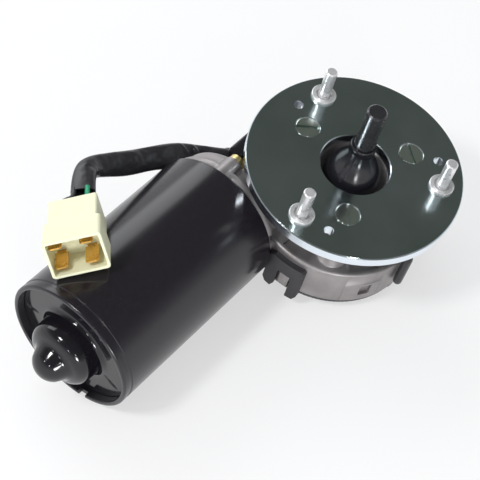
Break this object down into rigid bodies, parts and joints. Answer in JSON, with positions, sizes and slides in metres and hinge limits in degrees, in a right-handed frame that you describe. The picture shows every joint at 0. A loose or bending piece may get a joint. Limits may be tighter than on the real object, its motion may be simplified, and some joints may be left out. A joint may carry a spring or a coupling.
{
  "type": "wiper motor",
  "caption": "Worm-geared electric wiper motor with a round stud plate around the output shaft, a black motor can and a short harness with a plug-in connector.",
  "frame": {"origin": "on the output axis, in the top face of the mounting plate, at the centre of the studs' circle", "axes": "+Z along the output shaft, out of the plate; the motor can lies towards -X, its axis parallel to X"},
  "size_m": [0.2293, 0.1538, 0.1195],
  "materials": {
    "zinc_plate": "bright zinc plate, nearly mirror",
    "zinc_stud": "bright zinc plate",
    "zinc_screw": "zinc plate, slotted heads",
    "yellow_zinc": "yellow passivated zinc",
    "die_cast": "as cast, fine grain",
    "can_black": "semi-gloss black paint",
    "end_black": "gloss black paint",
    "shaft_dark": "blackened steel",
    "boot_rubber": "smooth black rubber",
    "cover_plastic": "moulded black plastic",
    "connector_nylon": "natural nylon, satin",
    "terminal_brass": "stamped brass",
    "sleeve_pvc": "soft black sleeve",
    "wire_black": "PVC insulation",
    "shaft_steel": "ground steel",
    "lamination": "stacked laminations",
    "copper": "copper",
    "ferrite": "sintered ferrite",
    "spring_steel": "spring steel",
    "bronze": "sintered bronze",
    "carbon": "carbon",
    "phenolic": "phenolic sheet",
    "gear_nylon": "moulded gear plastic",
    "gasket": "cork rubber"
  },
  "bodies": {
    "housing": {"mounting_plate": "zinc_plate", "mounting_studs": "zinc_stud", "plate_screws": "zinc_screw", "gear_housing": "die_cast", "gear_cover": "cover_plastic", "cover_gasket": "gasket", "park_contact_plate": "phenolic", "park_contacts": "terminal_brass", "cable_grommet": "boot_rubber", "can_screws": "yellow_zinc", "motor_can": "can_black", "rear_end_plate": "end_black", "rear_bearing": "bronze", "bearing_retainer": "spring_steel", "front_bush": "bronze", "end_bush": "bronze", "thrust_screw": "zinc_screw", "field_magnets": "ferrite", "magnet_clips": "spring_steel", "brush_plate": "phenolic", "brush_holders": "terminal_brass", "carbon_brushes": "carbon", "brush_springs": "spring_steel", "output_bushes": "bronze", "shaft_boot": "boot_rubber", "harness_sleeve": "sleeve_pvc", "harness_wires": "wire_black", "connector_housing": "connector_nylon", "terminal_blades": "terminal_brass"},
    "armature": {"armature_shaft": "shaft_steel", "armature_core": "lamination", "windings": "copper", "commutator": "copper"},
    "output": {"output_shaft": "shaft_dark", "worm_wheel": "gear_nylon", "park_disc": "terminal_brass", "thrust_washer": "spring_steel", "top_washer": "spring_steel", "retaining_ring": "spring_steel"}
  },
  "joints": [
    {"name": "armature_spin", "type": "hinge", "parent": "housing", "child": "armature", "pos_m": [0, 0.041, -0.042], "axis": [1, 0, 0], "continuous": true},
    {"name": "output_spin", "type": "hinge", "parent": "housing", "child": "output", "pos_m": [0, 0, 0], "axis": [0, 0, 1], "continuous": true}
  ],
  "couplings": [
    {"joint": "output_spin", "follows": "armature_spin", "ratio": 0.016667}
  ]
}
